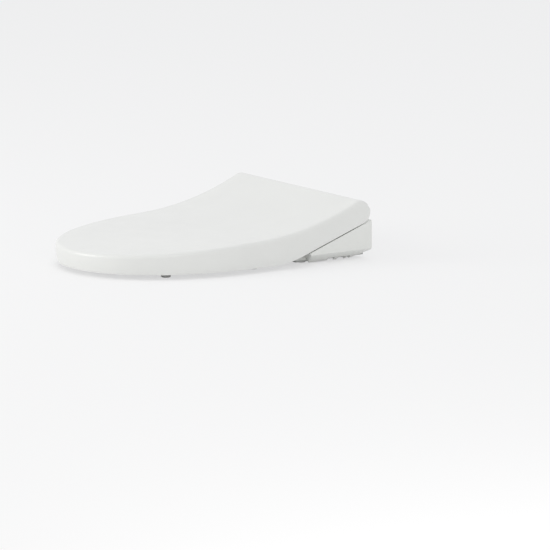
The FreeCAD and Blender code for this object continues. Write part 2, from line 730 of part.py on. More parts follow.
def make_wand():
    tip_y = S.wand_tip_back
    tube = cylinder("wand_tube", (0, tip_y + S.wand_tip_length, 0), "wand_radius", "wand_length - wand_tip_length", Y_AXIS)
    rack = prism("wand_rack", "YZ_Plane", polygon(rack_points()), "-gear_width / 2", "gear_width")
    wand = tilt(fuse("spray_wand", [tube, rack]))

    nose = fuse("wand_nose", [
        cylinder("nose_body", (0, tip_y + 3, 0), "wand_radius", "wand_tip_length - 3", Y_AXIS),
        cone("nose_end", (0, tip_y, 0), 3.4, "wand_radius", 3.0, Y_AXIS),
    ])
    jets = [
        cylinder("jet_%d" % n, (0, tip_y + y, 2), 0.8, 6.0)
        for n, y in enumerate((4.2, 7.2))
    ]
    tip = tilt(cut("spray_tip", nose, jets))

    front_end = 4.0
    length = tip_y + S.wand_length + 2 - front_end
    guide_half = S.wand_radius + 3.5
    guide_low = -S.wand_radius - 2
    guide_out = box("guide_block", (-guide_half, front_end, guide_low), (2 * guide_half, length, 2.5 - 2 * guide_low - 2))
    guide_in = cylinder("guide_bore", (0, front_end - 1, 0), "wand_radius + 0.4", length + 2, Y_AXIS)
    guide_slot = box("guide_slot", (-S.gear_width / 2 - 0.5, front_end - 1, guide_low - 1), (S.gear_width + 1, length + 2, 1 - guide_low))
    guide_cap = box("guide_trim", (-10, front_end + 40, 3), (20, length, 6))
    guide = tilt(cut("wand_guide", guide_out, [guide_in, guide_slot, guide_cap]))

    gear = prism("pinion_blank", "YZ_Plane", polygon(gear_points(S.gear_teeth, S.gear_module, 0)), "-gear_width / 2", "gear_width")
    gear.Placement = FreeCAD.Placement(FreeCAD.Vector(0, PINION_Y, PINION_Z), FreeCAD.Rotation())
    pinion = tilt(cut("wand_pinion", gear, [cylinder("pinion_bore", (-10, PINION_Y, PINION_Z), 1.55, 20.0, X_AXIS)]))
    can_x = guide_half + S.fit
    axle_x = -S.gear_width / 2 - 1.5
    axle = cylinder("motor_axle", (axle_x, PINION_Y, PINION_Z), 1.5, can_x - axle_x + 1, X_AXIS)
    can = cylinder("motor_can", (can_x, PINION_Y, PINION_Z), 6.0, 16.0, X_AXIS)
    ears = box("motor_ear", (can_x, PINION_Y - 9, PINION_Z - 2.5), (1.5, 18, 5))
    motor = tilt(fuse("wand_motor", [axle, can, ears]))
    return {
        "spray_wand": wand,
        "spray_tip": tip,
        "wand_guide": guide,
        "wand_pinion": pinion,
        "wand_motor": motor,
    }


FLAP_KNUCKLE = 1.4
FLAP_HINGE_Y = S.base_front + FLAP_KNUCKLE


def make_flap(name, x, width):
    """A flap hung in the front face on a pin along its top edge."""
    hinge = FLAP_HINGE_Y
    leaf = box(name + "_leaf", (x - width / 2, hinge - 1, S.flap_hinge_z - S.flap_height), (width, "flap_thickness", "flap_height"))
    knuckle = cylinder(name + "_knuckle", (x - width / 2, hinge, "flap_hinge_z"), FLAP_KNUCKLE, width, X_AXIS)
    pin = cylinder(name + "_pin", (x - width / 2 - 2.5, hinge, "flap_hinge_z"), "flap_pin_radius", width + 5, X_AXIS)
    return fuse(name, [leaf, knuckle, pin])


# ---------------------------------------------------------------- works inside the base

def make_works():
    floor = S.base_floor
    made = {}
    # water side: inlet valve, heater and pump, at the sitter's right
    made["water_valve"] = fuse("water_valve", [
        box("valve_block", (-158, 8, floor), (30, 34, 26)),
        cylinder("valve_coil", (-143, 25, floor + 26), 8.0, 14.0),
    ])
    made["water_heater"] = fuse("water_heater", [
        box("heater_tank", (-122, -2, floor), (62, 52, 34)),
        cylinder("heater_port_in", (-128, 20, floor + 18), 3.5, 8.0, X_AXIS),
        cylinder("heater_port_out", (-60, 10, floor + 18), 3.5, 8.0, X_AXIS),
    ])
    made["water_pump"] = fuse("water_pump", [
        cylinder("pump_body", (-52, -5, floor + 13), 13.0, 26.0, X_AXIS),
        box("pump_saddle", (-48, -14, floor), (18, 18, 6)),
    ])
    made["spray_selector"] = fuse("spray_selector", [
        cylinder("selector_body", (-34, 40, floor), 10.0, 22.0),
        cylinder("selector_motor", (-34, 40, floor + 22), 7.0, 10.0),
    ])
    # dryer, at the sitter's left of the wand
    x = S.dryer_x
    duct_out = box("dryer_duct_out", (x - 20, S.base_front + 5, floor), (40, 50, 24))
    duct_in = box("dryer_duct_in", (x - 18, S.base_front + 4, floor + 2), (36, 60, 20))
    made["dryer_duct"] = cut("dryer_duct", duct_out, [duct_in])
    blower_out = cylinder("blower_out", (x, -4, floor), 26.0, 26.0)
    blower_in = cylinder("blower_in", (x, -4, floor + 2), 24.0, 22.0)
    blower_mouth = box("blower_mouth", (x - 17, -50, floor + 2), (34, 30, 20))
    blower_eye = cylinder("blower_eye", (x, -4, floor + 20), 12.0, 12.0)
    made["dryer_housing"] = cut("dryer_housing", blower_out, [blower_in, blower_mouth, blower_eye])
    made["dryer_element"] = fuse("dryer_element", [
        box("element_bar_%d" % n, (x - 18, S.base_front + 18 + 8 * n, floor + 6), (36, 1.5, 12)) for n in range(4)
    ])
    hub = cylinder("impeller_hub", (x, -4, floor + 3), 6.0, 16.0)
    disc = cylinder("impeller_disc", (x, -4, floor + 3), 20.0, 1.5)
    blades = []
    for i in range(12):
        turn = FreeCAD.Rotation(Z_AXIS, 30 * i)
        spot = FreeCAD.Vector(x, -4, floor + 4) + turn.multVec(FreeCAD.Vector(14.5, -1.5, 0))
        blade = box("impeller_blade_%d" % i, (0, 0, 0), (5, 1, 14.5))
        blades.append(place(blade, tuple(spot), Z_AXIS, 30 * i + 25))
    made["dryer_impeller"] = cut(
        "dryer_impeller",
        fuse("impeller_solid", [hub, disc] + blades),
        [cylinder("impeller_bore", (x, -4, floor), 2.05, 30.0)],
    )
    made["dryer_motor"] = fuse("dryer_motor", [
        cylinder("dryer_axle", (x, -4, floor + 2), 2.0, 18.5),
        cylinder("dryer_can", (x, -4, floor + 20.5), 10.0, 14.0),
        box("dryer_strap", (x - 25, -7, floor + 26), (50, 6, 2)),
    ])
    # deodoriser behind the intake slots
    made["odour_filter"] = box("odour_filter", (-124, S.base_front + 3, floor), (56, 26, 32))
    made["odour_fan"] = cylinder("odour_fan", (-98, -56.5, floor + 15), 15.0, 30.0, Y_AXIS)
    # electronics at the sitter's left
    made["control_board"] = fuse("control_board", [
        box("board", (100, -70, floor + 8), (58, 110, 1.6)),
        box("relay", (110, -60, floor + 9.6), (18, 14, 14)),
        cylinder("capacitor", (142, -30, floor + 9.6), 7.0, 16.0),
        box("connector", (104, 20, floor + 9.6), (8, 16, 9)),
        box("chip", (122, -20, floor + 9.6), (10, 14, 2)),
    ])
    made["board_posts"] = fuse("board_posts", [
        cylinder("board_post_%d" % n, (px, py, floor), 3.0, 8.0)
        for n, (px, py) in enumerate(((105, -65), (153, -65), (105, 35), (153, 35)))
    ])
    made["power_supply"] = box("power_supply", (112, -10, floor + 12), (40, 26, 26))
    # indicator window and touch sensor board under the cover's top
    top = housing_top(-72)
    made["sensor_window"] = box("sensor_window", (-10, -72, top - 4), (20, 9, 4.6))
    made["sensor_board"] = box("sensor_board", (-16, -76, top - 5.6), (32, 17, 1.6))
    return made


def make_buttons():
    made = {}
    for name, x, y in BUTTONS:
        top = housing_top(y)
        made[name] = fuse(name, [
            cylinder(name + "_cap", (x, y, top - 6), 5.0, 8.2),
            cylinder(name + "_flange", (x, y, top - 7.5), 6.5, 1.5),
        ])
    top = housing_top(BUTTONS[0][2])
    plate = top - 13.5
    post_y = -60.0
    post = housing_top(post_y - 2) - S.base_wall / math.cos(SLOPE) - S.fit - plate
    made["switch_board"] = fuse("switch_board", [
        box("switch_plate", (-145, -72, plate), (54, 20, 1.6)),
        *[cylinder(name + "_switch", (x, y, plate + 1.6), 3.0, 2.6) for name, x, y in BUTTONS],
        *[cylinder("switch_post_%d" % x, (-x, post_y, plate), 2.0, post) for x in (142, 94)],
    ])
    return made


def make_inlet():
    """The threaded nipple for the water hose, in a pocket of the right-hand panel."""
    y, z = 38.0, 34.0
    nipple = fuse("inlet_body", [
        cylinder("inlet_thread", (-S.panel_inner - S.base_wall - S.fit, y, z), "inlet_radius", "inlet_length", -X_AXIS),
        cylinder("inlet_neck", ("-base_half_width + 7", y, z), 7.0, 12.0, -X_AXIS),
    ])
    bore = cylinder("inlet_bore", (-S.base_half_width + 10, y, z), 5.0, 40.0, -X_AXIS)
    pocket = box("inlet_pocket", (-HALF - 1, y - 18, z - 18), (HALF + 1 - S.panel_inner - S.base_wall, 36, 36))
    hole = cylinder("inlet_hole", (-S.base_half_width + 4, y, z), 7.2, 12.0, -X_AXIS)
    return cut("water_inlet", nipple, [bore]), pocket, hole


def make_screws():
    """Screws that hold the chassis to the cover, seen from below."""
    return fuse("cover_screws", [
        cylinder("cover_screw_%d" % n, (x, y, S.chassis_bottom - 1.8), 3.0, 1.8)
        for n, (x, y) in enumerate(mirrored((155, -78), (155, -10), (155, 50)))
    ])


def assemble():
    made = {}
    made.update(make_lid())
    made.update(make_seat())
    made.update(make_housing())
    made.update(make_chassis())
    made.update(make_hinges())
    made.update(make_wand())
    made["wand_shutter"] = make_flap("wand_shutter", 0.0, S.shutter_width)
    made["dryer_flap"] = make_flap("dryer_flap", S.dryer_x, S.dryer_flap_width)
    made.update(make_works())
    made.update(make_buttons())
    made["side_panel_left"] = make_panel("left", 1)
    right = make_panel("right", -1)
    inlet, pocket, hole = make_inlet()
    right.Label = "side_panel_right_whole"
    made["side_panel_right"] = cut("side_panel_right_cut", right, [pocket, cylinder("panel_inlet_hole", (-S.base_half_width + 4, 38.0, 34.0), 7.2, 12.0, -X_AXIS)])
    made["housing_cover"] = cut("housing_cover_cut", made["housing_cover"], [hole])
    made["water_inlet"] = inlet
    made["cover_screws"] = make_screws()
    return made


parts = assemble()
doc.recompute()
failed = [o.Name for o in doc.Objects if {"Invalid", "Error"} & set(o.State)]
if failed:
    raise RuntimeError("these objects failed: %s" % ", ".join(failed))
os.makedirs("parts", exist_ok=True)
for node, obj in parts.items():
    shape = obj.Shape
    if shape.isNull() or not shape.isValid() or not shape.Solids:
        raise RuntimeError("%s has no valid solid" % node)
for node, obj in parts.items():
    for other in doc.Objects:
        if other is not obj and other.Label == node:
            other.Label = node + "_source"
    obj.Label = node
    obj.Shape.exportStep("parts/%s.step" % node)
    print("%-20s solids %d volume %.1f cm3" % (node, len(obj.Shape.Solids), obj.Shape.Volume / 1000))
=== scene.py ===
# %% [markdown]
# # An electric bidet seat, dressed for the camera
#
# The engineering model arrives as a frame of named parts on named bodies.  It has every
# size right, but its edges are sharp and its plastics are bare.  This lesson rebuilds
# the parts that a hand or an eye meets, rounds the rest, gives everything a finish,
# and sets up a quiet white studio.

import json
import math

import bmesh
import bpy
import numpy as np
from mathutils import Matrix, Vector

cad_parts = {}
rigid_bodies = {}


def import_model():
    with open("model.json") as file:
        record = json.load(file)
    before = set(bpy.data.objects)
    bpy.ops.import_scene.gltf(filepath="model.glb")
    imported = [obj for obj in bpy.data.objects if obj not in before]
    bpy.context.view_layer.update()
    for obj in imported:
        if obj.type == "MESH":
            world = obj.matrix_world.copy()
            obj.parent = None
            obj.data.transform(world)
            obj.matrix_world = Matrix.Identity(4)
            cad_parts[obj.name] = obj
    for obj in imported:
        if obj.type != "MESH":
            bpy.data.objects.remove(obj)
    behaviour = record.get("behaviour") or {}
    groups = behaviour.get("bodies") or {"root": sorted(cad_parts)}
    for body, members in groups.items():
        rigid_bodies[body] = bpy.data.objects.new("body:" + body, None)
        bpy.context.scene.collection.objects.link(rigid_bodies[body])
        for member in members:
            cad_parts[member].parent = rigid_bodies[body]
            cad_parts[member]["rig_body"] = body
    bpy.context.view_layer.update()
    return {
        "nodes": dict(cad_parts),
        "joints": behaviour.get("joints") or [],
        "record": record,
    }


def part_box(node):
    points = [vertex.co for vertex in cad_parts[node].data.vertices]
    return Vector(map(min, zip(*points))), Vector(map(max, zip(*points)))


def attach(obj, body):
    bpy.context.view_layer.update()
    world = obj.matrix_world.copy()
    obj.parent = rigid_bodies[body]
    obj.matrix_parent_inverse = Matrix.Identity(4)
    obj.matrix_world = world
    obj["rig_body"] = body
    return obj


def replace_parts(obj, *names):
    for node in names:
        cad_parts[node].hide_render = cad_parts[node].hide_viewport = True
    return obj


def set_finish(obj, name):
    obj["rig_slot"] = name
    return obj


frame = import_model()
NODES = frame["nodes"]

# %% [markdown]
# ## Sizes that several pieces share
#
# The lid, the ring and the housing nest inside one another about one hinge axis.  So
# their sizes are read from the frame once: the hinge's place from its joint, and each
# part's reach from its box.  The rest are plain distances in metres.

# %% Shared sizes
JOINTS = {joint["name"]: joint for joint in frame["joints"]}
HINGE_Y, HINGE_Z = JOINTS["seat_hinge"]["pos_m"][1:]
lid_low, lid_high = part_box("lid_cover")
HALF, FRONT = lid_high.x, lid_low.y
LID_END = lid_high.z - HINGE_Z
LID_BOTTOM = lid_low.z
WIDEST = -0.207
NOSE_POWER = 2.12
SLOPE_START = -0.1246
run, rise = HINGE_Y - SLOPE_START, HINGE_Z - LID_BOTTOM
SLOPE = math.atan2(rise, run) - math.asin(LID_END / math.hypot(rise, run))
print("hinge at", round(HINGE_Y, 4), round(HINGE_Z, 4), "slope", round(math.degrees(SLOPE), 2), "degrees")

# %% [markdown]
# ## Helpers that turn arrays into meshes
#
# A shape here is rows of points.  Two rows of equal length make a band of four-sided
# faces, and a closed outline in one plane makes one many-sided face.  Rows share their
# points, so the surface has no seams.  Each row can also ask for its edges to be
# rounded, which the Bevel modifier does later.

# %% Rows, bands and outlines
class Skin:
    """One open surface, collected row by row, with the edges that are to be rounded."""

    def __init__(self):
        self.points, self.faces, self.rounding = [], [], {}

    def row(self, array):
        """Adds an (n, 3) array of points and returns their numbers."""
        start = len(self.points)
        self.points.extend(np.asarray(array, float).tolist())
        return list(range(start, start + len(array)))

    def band(self, upper, lower):
        """Faces between two rows of the same length; four-sided, or three where rows meet."""
        for k in range(len(upper) - 1):
            corners = [upper[k], upper[k + 1], lower[k + 1], lower[k]]
            self.faces.append(list(dict.fromkeys(corners)))

    def outline(self, ring):
        """One flat face inside a closed outline."""
        self.faces.append(list(ring))

    def soften(self, row, weights):
        """Asks for the edges along a row to be rounded, by one weight or one per edge."""
        weights = np.broadcast_to(weights, len(row) - 1)
        for a, b, weight in zip(row, row[1:], weights):
            self.rounding[(min(a, b), max(a, b))] = float(weight)

    def piece(self, name, body, slot):
        """The Blender object, riding its body, with bevel weights on its edges."""
        mesh = bpy.data.meshes.new(name)
        mesh.from_pydata(self.points, [], self.faces)
        mesh.update()
        mesh.shade_smooth()
        layer = mesh.attributes.new("bevel_weight_edge", "FLOAT", "EDGE")
        weights = [self.rounding.get((min(e.vertices), max(e.vertices)), 0.0) for e in mesh.edges]
        layer.data.foreach_set("value", weights)
        return show(mesh, name, body, slot)


def show(mesh, name, body, slot):
    """Puts a mesh in the scene as a piece that rides a body."""
    piece = bpy.data.objects.new(name, mesh)
    bpy.context.scene.collection.objects.link(piece)
    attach(piece, body)
    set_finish(piece, slot)
    return piece


print("row helpers ready")


# %% Sides, thickness and rounding
def turn_faces(piece):
    """Makes neighbours agree which way they face, then points the largest top face up."""
    bm = bmesh.new()
    bm.from_mesh(piece.data)
    bmesh.ops.recalc_face_normals(bm, faces=bm.faces)
    top = max(bm.faces, key=lambda f: f.calc_area() * abs(f.normal.z))
    if top.normal.z < 0:
        bmesh.ops.reverse_faces(bm, faces=bm.faces)
    bm.to_mesh(piece.data)
    bm.free()


def add_bevel(piece, width, segments, by="ANGLE", angle=35):
    """Rounds edges: those sharper than angle, or by their own bevel weight."""
    mod = piece.modifiers.new("round", "BEVEL")
    mod.width = width
    mod.segments = segments
    mod.limit_method = by
    mod.angle_limit = math.radians(angle)
    mod.use_clamp_overlap = True


def add_wall(piece, thickness):
    """Gives an outer face its wall, inwards."""
    mod = piece.modifiers.new("wall", "SOLIDIFY")
    mod.thickness = thickness
    mod.offset = -1


def add_even_shading(piece):
    """Shading follows the large faces, so only the rounded edges catch the light."""
    mod = piece.modifiers.new("shading", "WEIGHTED_NORMAL")
    mod.keep_sharp = True


print("finishing helpers ready")


# %% [markdown]
# ## The curves that everything follows
#
# Seen from above, the lid is half an oval with straight sides.  A superellipse has one
# number for how square its shoulders are, so one formula gives the whole nose.  Seen
# from the side, its top is a gentle slope, a long hollow curve, and a round end about
# the hinge.  The hollow's radius is worked out so that it leaves the slope and meets
# the round end without a kink.

# %% The nose from above
def nose(half, front, count):
    """Superellipse |x / half|^p + |y / reach|^p = 1, from right shoulder to left, evenly spaced."""
    angle = np.linspace(-math.pi / 2, math.pi / 2, 900)
    across = np.sign(angle) * np.abs(np.sin(angle)) ** (2 / NOSE_POWER) * half
    ahead = np.abs(np.cos(angle)) ** (2 / NOSE_POWER) * (WIDEST - front)
    curve = np.stack([across, WIDEST - ahead], -1)
    along = np.concatenate([[0], np.cumsum(np.hypot(*np.diff(curve, axis=0).T))])
    at = np.linspace(0, along[-1], count)
    return np.stack([np.interp(at, along, curve[:, 0]), np.interp(at, along, curve[:, 1])], -1)


print("nose half way round:", nose(HALF, FRONT, 9)[4].round(3).tolist())


# %% The upper and lower curves from the side
class UpperCurve:
    """Slope, hollow circle and end circle.  The hollow's radius R touches both: the distance
    from the hinge to its centre is R + end radius."""

    def __init__(self, bend_y, bend_z, rise, end_radius):
        self.bend, self.rise, self.end = (bend_y, bend_z), rise, end_radius
        normal = np.array([-rise, 1]) / math.hypot(1, rise)
        offset = np.array([bend_y - HINGE_Y, bend_z - HINGE_Z])
        self.radius = (offset @ offset - end_radius**2) / (2 * (end_radius - offset @ normal))
        self.centre = np.array([bend_y, bend_z]) + self.radius * normal
        away = self.centre - [HINGE_Y, HINGE_Z]
        self.meet = math.atan2(away[1], away[0])
        self.meet_y = HINGE_Y + end_radius * math.cos(self.meet)

    def height(self, y):
        y = np.asarray(y, float)
        slope = self.bend[1] + self.rise * (y - self.bend[0])
        inside = np.maximum(self.radius**2 - (self.centre[0] - y) ** 2, 0)
        return np.where(y < self.bend[0], slope, self.centre[1] - np.sqrt(inside))

    def rail(self, ys, stop, count):
        """Points (y, z) at the given ys, then round the end circle to the angle stop."""
        ys = np.append(ys[ys < self.meet_y - 1e-4], self.meet_y)
        turn = np.linspace(self.meet, stop, count)[1:]
        end = np.stack([HINGE_Y + self.end * np.cos(turn), HINGE_Z + self.end * np.sin(turn)], -1)
        return np.concatenate([np.stack([ys, self.height(ys)], -1), end])


class LowerCurve:
    """Flat, a bend of 200 mm radius, and a slope that touches the end circle."""

    def __init__(self, bottom, end_radius, bend_radius=0.2):
        slope_z = HINGE_Z - end_radius / math.cos(SLOPE)
        corner = HINGE_Y - (slope_z - bottom) / math.tan(SLOPE)
        self.bottom, self.radius = bottom, bend_radius
        self.start = corner - bend_radius * math.tan(SLOPE / 2)
        self.stop = self.start + bend_radius * math.sin(SLOPE)
        self.slope_z = slope_z
        self.touch = SLOPE - math.pi / 2

    def height(self, y):
        y = np.asarray(y, float)
        run = np.clip(y - self.start, 0, self.stop - self.start)
        bend = self.bottom + self.radius - np.sqrt(self.radius**2 - run**2)
        return np.where(y < self.stop, bend, self.slope_z + (y - HINGE_Y) * math.tan(SLOPE))


lid_top = UpperCurve(-0.178, 0.0575, 0.053, LID_END)
lid_edge = LowerCurve(LID_BOTTOM, LID_END)
print("lid hollow radius", round(lid_top.radius, 3), "edge bends from", round(lid_edge.start, 3))

# %% [markdown]
# ## The lid
#
# The real lid is one moulding: a 3 mm skin with a deep skirt, soft rims and a rolled
# rear end that hides the hinge.  It could be carved with booleans, but a thin skin with
# even walls is easier the way a moulder thinks of it: draw the outer face only, round
# its rim, then give it thickness inwards.  The outer face is a sheet that follows the
# side curve, a skirt that hangs from its edge, and two flat cheeks at the rear.

# %% Lid: outer face
LIP = math.radians(35)
SKIRT_TUCK = 0.0035
RIM = 0.0065


def down_from(rail):
    """Unit directions into the cheek, square to a side curve and plumb at its first point."""
    along = np.gradient(rail, axis=0)
    square = np.stack([along[:, 1], -along[:, 0]], -1)
    square /= np.linalg.norm(square, axis=1, keepdims=True)
    weight = np.clip(np.arange(len(rail)) / 6, 0, 1)[:, None]
    mixed = square * weight + np.array([0, -1.0]) * (1 - weight)
    return mixed / np.linalg.norm(mixed, axis=1, keepdims=True)


def build_lid():
    """Rim: P + r (1 - sin a) inward + r (1 - cos a) down, for a from 0 to 90 degrees.
    Skirt: the nose lowered to a level edge and drawn in by share^2 of the tuck.
    Cheeks: straight lines from the rim's last row to the lower side curve."""
    skin = Skin()
    curve = nose(HALF, FRONT, 97)
    forward = np.clip((WIDEST - curve[:, 1]) / (WIDEST - FRONT), 0, 1)
    inward = np.stack([curve[:, 0] / HALF**2, (curve[:, 1] - WIDEST) / (WIDEST - FRONT) ** 2], -1)
    inward /= -np.linalg.norm(inward, axis=1, keepdims=True)
    level = lid_top.height(curve[:, 1])
    turns = np.linspace(0, math.pi / 2, 8)
    shares = (0.3, 0.6, 0.85, 1.0)

    rim = []
    for a in turns:
        plan = curve + inward * RIM * (1 - math.sin(a))
        rim.append(skin.row(np.column_stack([plan, level - RIM * (1 - math.cos(a))])))
    for share in shares:
        plan = curve + inward * (SKIRT_TUCK * forward**0.6 * share**2)[:, None]
        rim.append(skin.row(np.column_stack([plan, (level - RIM) * (1 - share) + LID_BOTTOM * share])))
    for upper, lower in zip(rim, rim[1:]):
        skin.band(upper, lower)
    half_way = len(curve) // 2
    skin.band(rim[0][: half_way + 1], rim[0][: half_way - 1 : -1])

    bend_y = lid_top.bend[0]
    ys = np.concatenate([np.linspace(WIDEST, bend_y, 5), np.linspace(bend_y, lid_top.meet_y, 34)[1:]])
    rail = lid_top.rail(ys, LIP, 18)
    flat = len(rail) - 17
    angle = np.arctan2(rail[:, 1] - HINGE_Z, rail[:, 0] - HINGE_Y)
    size = np.where(np.arange(len(rail)) < flat, RIM, np.interp(angle, [LIP, 1.5], [0.002, RIM]))[1:, None]
    down = down_from(rail)[1:]
    level_y = np.linspace(WIDEST, lid_edge.start, 4)[:-1]
    low_y = np.concatenate([level_y, np.linspace(lid_edge.start, lid_edge.stop, flat - 3)])
    turn = np.linspace(lid_edge.touch, LIP - 0.35, 18)[1:]
    end = np.stack([HINGE_Y + LID_END * np.cos(turn), HINGE_Z + LID_END * np.sin(turn)], -1)
    touch_at = lid_edge.touch
    touch = np.array([[HINGE_Y + LID_END * math.cos(touch_at), HINGE_Z + LID_END * math.sin(touch_at)]])
    lower = np.concatenate([np.stack([low_y, lid_edge.height(low_y)], -1)[:-1], touch, end])[1:]

    sides = {}
    for sign, first in ((-1, 0), (1, -1)):
        chain = []
        for a, row in zip(turns, rim):
            side = rail[1:] + down * size * (1 - math.cos(a))
            across = sign * (HALF - size[:, 0] * (1 - math.sin(a)))
            chain.append([row[first]] + skin.row(np.column_stack([across, side])))
        top = rail[1:] + down * size
        for share, row in zip(shares, rim[len(turns):]):
            side = top * (1 - share) + lower * share
            chain.append([row[first]] + skin.row(np.column_stack([np.full(len(side), sign * HALF), side])))
        for upper, under in zip(chain, chain[1:]):
            skin.band(upper, under)
        sides[sign] = chain[0]
    skin.band(sides[-1], sides[1])
    return skin.piece("lid_skin", "lid", "lid_white")


lid = build_lid()
turn_faces(lid)
print("lid outer face:", len(lid.data.polygons), "faces")

# %% Lid: wall and shading
add_wall(lid, 0.003)
add_bevel(lid, 0.0007, 2, "ANGLE", 50)
add_even_shading(lid)
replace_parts(lid, "lid_cover")
print("lid rim rounded to 6.5 mm, wall 3 mm")

# %% [markdown]
# ## The seat ring
#
# Under the lid lies the heated ring: a crowned, slightly dished shell around an oval
# opening, with two arms that run back to the hinge.  A torus or a sculpted block would
# not hold the exact nest under the lid, so the ring is a loft: rays leave the middle of
# the opening, and each ray carries the same cross-section between the two outlines.

# %% Ring: outlines and section
ring_low, ring_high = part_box("seat_top_shell")
RING_HALF, RING_FRONT = ring_high.x, ring_low.y
RING_BOTTOM = ring_low.z
BAY_Y, ARM_IN, ARM_OUT = -0.092, 0.168, 0.183
OPENING_Y, OPENING_HALF, OPENING_REAR, OPENING_FORE = -0.255, 0.104, 0.146, 0.133
NOTCH_HALF, NOTCH_Y, NOTCH_Z = 0.100, -0.112, 0.0355
RING_END = LID_END - 0.005
ring_top = UpperCurve(-0.150, 0.038, 0.0, RING_END)
ring_edge = LowerCurve(RING_BOTTOM, RING_END)


def ring_outline():
    """Outer outline, seen from above: rear line, left side, nose, right side, rear line."""
    rear = np.array([0, 0.03, 0.06, 0.085, 0.0997, 0.1003, 0.12, 0.145, ARM_IN, RING_HALF])
    left_rear = np.stack([rear, np.full(len(rear), BAY_Y)], -1)
    side_y = np.linspace(BAY_Y, WIDEST, 12)[1:-1]
    left_side = np.stack([np.full(len(side_y), RING_HALF), side_y], -1)
    front = nose(RING_HALF, RING_FRONT, 81)[::-1]
    mirror = np.array([-1.0, 1.0])
    right_side, right_rear = left_side[::-1] * mirror, left_rear[::-1][:-1] * mirror
    return np.concatenate([left_rear, left_side, front, right_side, right_rear])


def opening_towards(outline):
    """Where the ray from the opening's middle to each outline point crosses the oval:
    1 / sqrt((dx / half)^2 + (dy / reach)^2) of the way, with its own reach fore and aft."""
    ray = outline - [0, OPENING_Y]
    reach = np.where(ray[:, 1] > 0, OPENING_REAR, OPENING_FORE)
    share = 1 / np.sqrt((ray[:, 0] / OPENING_HALF) ** 2 + (ray[:, 1] / reach) ** 2)
    return [0, OPENING_Y] + ray * share[:, None]


outer = ring_outline()
inner = opening_towards(outer)
narrowest = float(np.hypot(*(outer - inner).T).min())
print("ring outline:", len(outer), "rays, narrowest", round(narrowest * 1000), "mm")


# %% Ring: the shell
def ring_levels(plan, share):
    """Height over the ring: the side curve, less a dish towards the opening and a fall
    towards the rim.  Both fade where the ring is narrow, at the rear bridge."""
    width = np.hypot(*(outer - inner).T)
    fade = np.clip((width - 0.02) / 0.05, 0, 1)
    dish = 0.0045 * np.clip(1 - share / 0.45, 0, 1) ** 2 + 0.0015 * np.clip((share - 0.6) / 0.4, 0, 1) ** 2
    return ring_top.height(plan[:, 1]) - dish * fade


def build_ring():
    skin = Skin()
    rows = []
    for share in (0.0, 0.08, 0.16, 0.26, 0.38, 0.52, 0.68, 0.84, 0.94, 1.0):
        plan = inner * (1 - share) + outer * share
        ids = skin.row(np.column_stack([plan, ring_levels(plan, share)]))
        rows.append(ids + ids[:1])
    for a, b in zip(rows, rows[1:]):
        skin.band(a, b)

    notched = (np.abs(inner[:, 0]) < NOTCH_HALF) & (inner[:, 1] > NOTCH_Y)
    low = np.where(notched, NOTCH_Z, ring_edge.height(inner[:, 1]))
    high = np.array(skin.points)[rows[0][:-1]][:, 2]
    above = rows[0]
    for share in (0.5, 1.0):
        below = skin.row(np.column_stack([inner, high * (1 - share) + low * share]))
        skin.band(above, below + below[:1])
        above = below + below[:1]

    notched = (np.abs(outer[:, 0]) < NOTCH_HALF) & (outer[:, 1] > BAY_Y - 1e-6)
    low = np.where(notched, NOTCH_Z, ring_edge.height(outer[:, 1]))
    foot = skin.row(np.column_stack([outer, low]))
    foot = foot + foot[:1]
    rim = rows[-1]
    for k in range(len(outer)):
        across_arm = all(abs(abs(outer[i % len(outer)][0]) - (ARM_IN + RING_HALF) / 2) < 0.01
                         and outer[i % len(outer)][1] > BAY_Y - 1e-6 for i in (k, k + 1))
        if not across_arm:
            skin.faces.append([rim[k], rim[k + 1], foot[k + 1], foot[k]])
    corner = 9
    spots = {1: (corner - 1, corner), -1: (len(outer) - corner + 1, len(outer) - corner)}
    for sign, (at_in, at_out) in spots.items():
        build_arm(skin, sign, rim[at_in], rim[at_out], foot[at_in], foot[at_out])
    skin.soften(rows[0], 1.0)
    rear = np.abs(outer[:, 1] - BAY_Y) < 1e-6
    weight = np.where(rear & np.roll(rear, -1), 0.35, 0.8)
    across = np.abs(np.abs(outer[:, 0]) - RING_HALF) < 1e-6
    weight = np.where(rear & np.roll(rear, -1) & (across | np.roll(across, -1)), 0.0, weight)
    skin.soften(rim, weight)
    return skin.piece("seat_ring", "seat", "seat_white")


def build_arm(skin, sign, top_in, top_out, foot_in, foot_out):
    """An arm: a strip that follows the side curve back, round the hinge and forward again
    underneath, with a flat wall each side.  Its outer wall steps in beside the lid's ear."""
    ys = np.array([-0.072, -0.052, -0.032, -0.012, 0.0, 0.012, 0.022])
    rail = ring_top.rail(ys, ring_edge.touch, 22)
    under = np.array([[y, ring_edge.height(y)] for y in (0.0, -0.012)])
    loop = np.concatenate([rail, under])
    x_out = np.where(loop[:, 0] < -0.006, RING_HALF, ARM_OUT)
    inside = skin.row([[sign * ARM_IN, y, z] for y, z in loop])
    outside = skin.row([[sign * x, y, z] for x, (y, z) in zip(x_out, loop)])
    skin.band([top_in] + inside, [top_out] + outside)
    skin.outline([top_in] + inside + [foot_in])
    skin.outline([top_out] + outside[:4] + [outside[-1], foot_out])
    skin.outline(outside[3:5] + outside[-2:])
    skin.outline(outside[4:-1])
    skin.soften([top_in] + inside[:-2], 0.3)
    skin.soften([top_out] + outside[:-2], [0.8, 0.6, 0.4] + [0.3] * (len(outside) - 5))


ring = build_ring()
turn_faces(ring)
add_bevel(ring, 0.0085, 6, "WEIGHT")
# As built this wall lies outside the outer face, so the ring is 2.8 mm too large all round.
add_wall(ring, 0.0028)
add_bevel(ring, 0.0007, 2, "ANGLE", 50)
add_even_shading(ring)
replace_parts(ring, "seat_top_shell")
print("ring shell:", len(ring.data.polygons), "faces before rounding")

